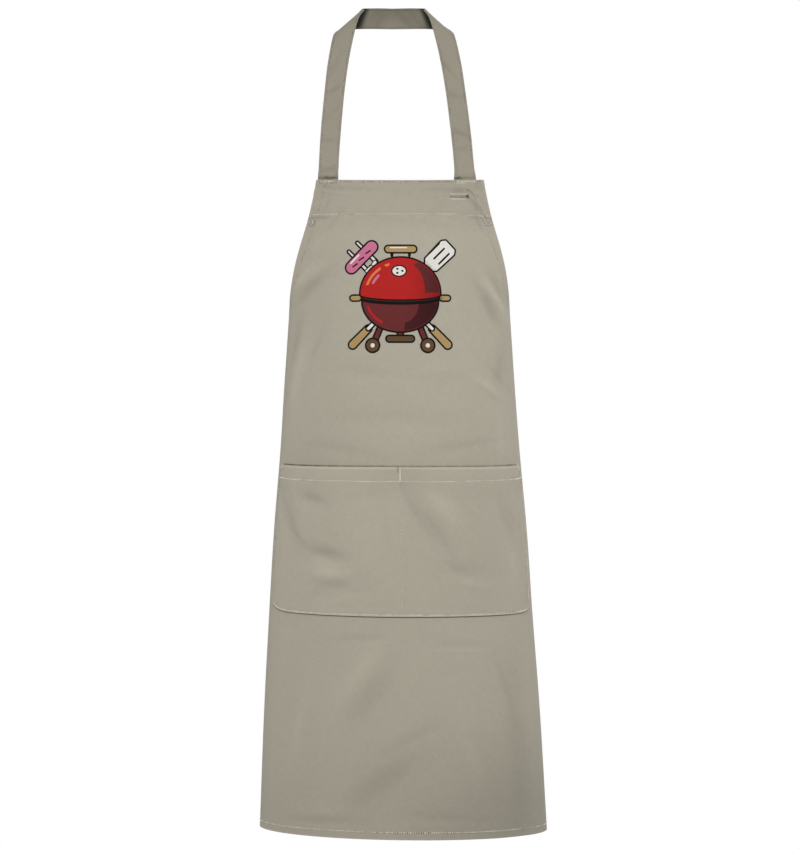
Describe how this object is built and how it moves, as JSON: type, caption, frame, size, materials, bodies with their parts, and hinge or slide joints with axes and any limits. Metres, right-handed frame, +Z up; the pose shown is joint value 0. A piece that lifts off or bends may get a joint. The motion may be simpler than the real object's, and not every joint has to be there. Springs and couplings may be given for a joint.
{
  "type": "bbq apron",
  "caption": "Cotton bib apron in the form it has when worn, with a neck strap, a wide belly pocket in two halves, a buttonhole in the bib and waist ties knotted at the back.",
  "frame": {"origin": "the middle of the neck strap's back run, on the face that touches the nape", "axes": "+Z up, -Y forward from the wearer's chest, +X to the right as seen from the front"},
  "size_m": [0.4049, 0.2319, 1.1673],
  "materials": {
    "panel_cotton": "matt cotton twill, khaki grey",
    "strap_cotton": "matt folded cotton twill band, khaki grey",
    "thread": "matt sewing thread, khaki grey",
    "print": "thin matt textile print in red, maroon, tan, pink, cream and black"
  },
  "bodies": {
    "root": {"apron_panel": "panel_cotton", "top_band": "panel_cotton", "armhole_hem_left": "panel_cotton", "armhole_hem_right": "panel_cotton", "side_hem_left": "panel_cotton", "side_hem_right": "panel_cotton", "bottom_hem": "panel_cotton", "neck_strap": "strap_cotton", "pocket": "panel_cotton", "pocket_hem": "panel_cotton", "waist_tie_left": "strap_cotton", "waist_tie_right": "strap_cotton", "tie_bow": "strap_cotton"}
  },
  "joints": []
}
